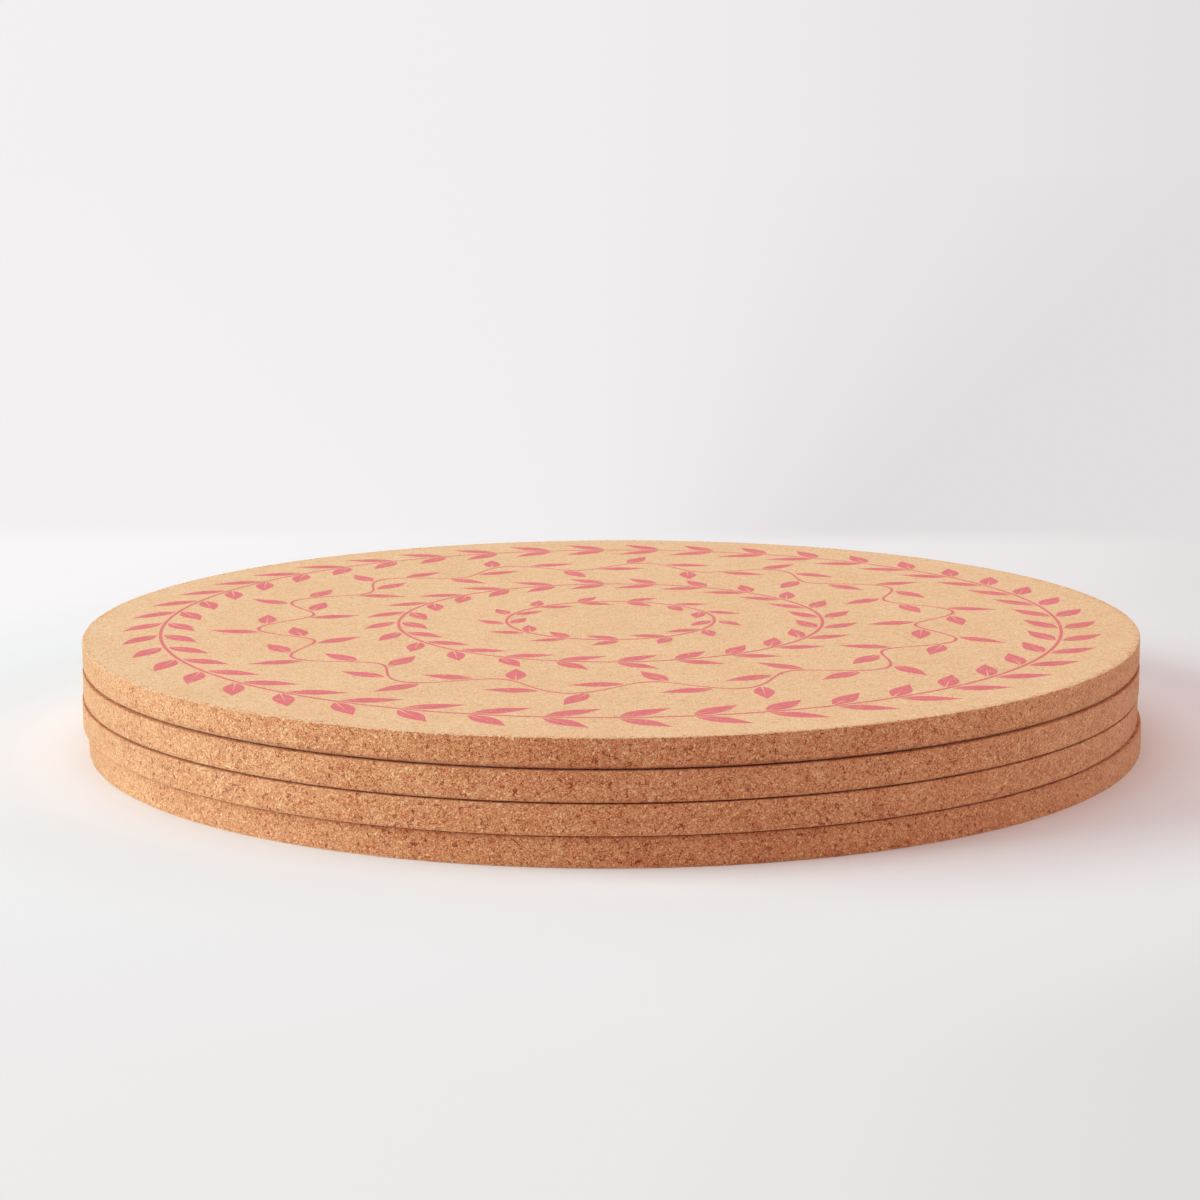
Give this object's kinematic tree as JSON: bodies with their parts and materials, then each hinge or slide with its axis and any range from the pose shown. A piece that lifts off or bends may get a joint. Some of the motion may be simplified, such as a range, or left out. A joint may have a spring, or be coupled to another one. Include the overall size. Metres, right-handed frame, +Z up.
{
  "type": "cork placemat set",
  "caption": "Stack of loose round cork placemats with square-cut edges, each a heat-proof rest for a dinner plate, lifted off one by one.",
  "frame": {"origin": "middle of the bottom mat's underside, on the table", "axes": "+Z up through the stack, +X to the right and -Y towards the viewer of the picture"},
  "size_m": [0.2913, 0.2909, 0.0304],
  "materials": {
    "cork": "agglomerated cork, sanded faces, raw cut wall",
    "print_ink": "matt screen ink, soaked into the cork"
  },
  "bodies": {
    "bottom": {"bottom_mat": "cork"},
    "second": {"second_mat": "cork"},
    "third": {"third_mat": "cork"},
    "top": {"top_mat": "cork"}
  },
  "joints": [
    {"name": "second_lift", "type": "slide", "parent": "bottom", "child": "second", "axis": [0, 0, 1], "range_m": [0, 0.06]},
    {"name": "third_lift", "type": "slide", "parent": "second", "child": "third", "axis": [0, 0, 1], "range_m": [0, 0.06]},
    {"name": "top_lift", "type": "slide", "parent": "third", "child": "top", "axis": [0, 0, 1], "range_m": [0, 0.06]}
  ]
}
